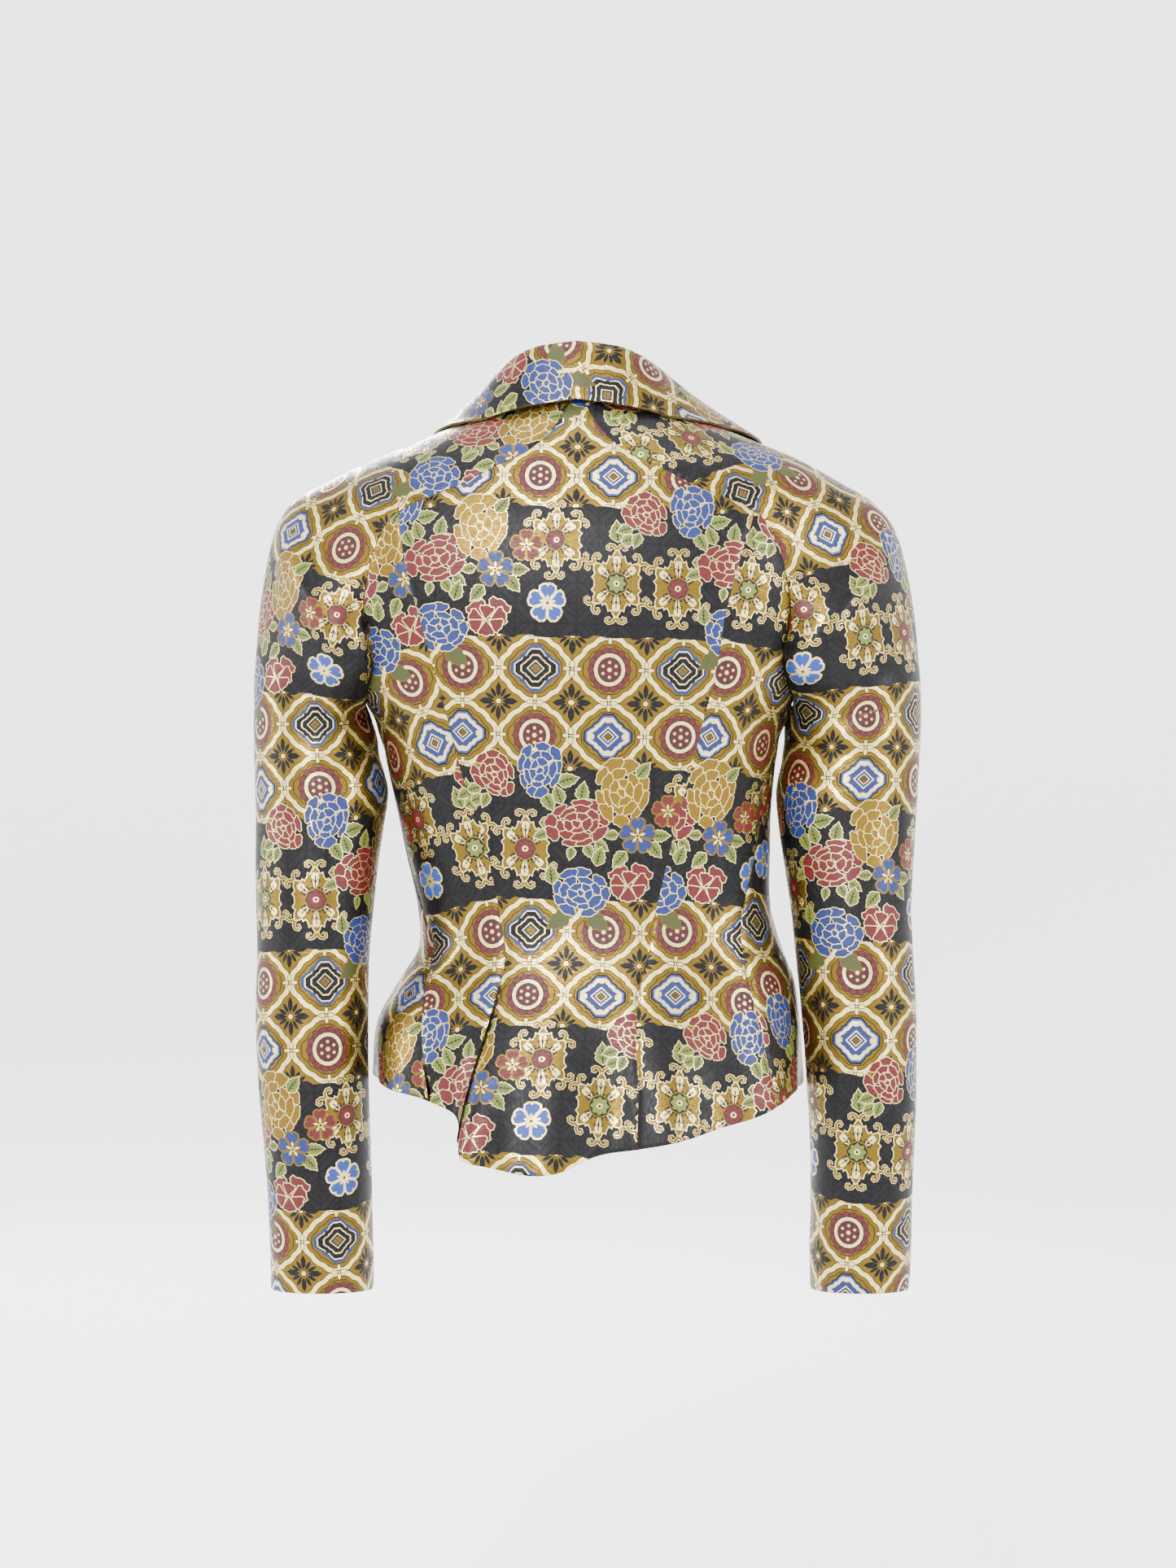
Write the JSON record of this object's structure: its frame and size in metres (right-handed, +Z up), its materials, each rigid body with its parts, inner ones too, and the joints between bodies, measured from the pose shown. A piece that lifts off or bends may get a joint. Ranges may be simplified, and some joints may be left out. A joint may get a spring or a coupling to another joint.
{
  "type": "evening jacket",
  "caption": "Fitted waist-length evening jacket with long raglan sleeves, shawl collar, princess seams and a fluted peplum, hollow as worn.",
  "frame": {"origin": "on the neck's axis at the height of the back neck seam, where the jacket is held up from inside", "axes": "+Z up along the body, the wearer faces -Y, +X to the wearer's left"},
  "size_m": [0.491, 0.2951, 0.6943],
  "materials": {
    "brocade_gold": "satin",
    "brocade_black": "satin",
    "covered_button": "satin"
  },
  "bodies": {
    "root": {"back_centre": "brocade_gold", "back_side_left": "brocade_black", "back_side_right": "brocade_black", "front_left": "brocade_black", "front_right": "brocade_black", "front_side_left": "brocade_gold", "front_side_right": "brocade_gold", "sleeve_back_left": "brocade_gold", "sleeve_back_right": "brocade_gold", "sleeve_front_left": "brocade_gold", "sleeve_front_right": "brocade_gold", "collar_fall": "brocade_black", "collar_stand": "brocade_gold", "button_1": "covered_button", "button_2": "covered_button", "button_3": "covered_button"}
  },
  "joints": []
}
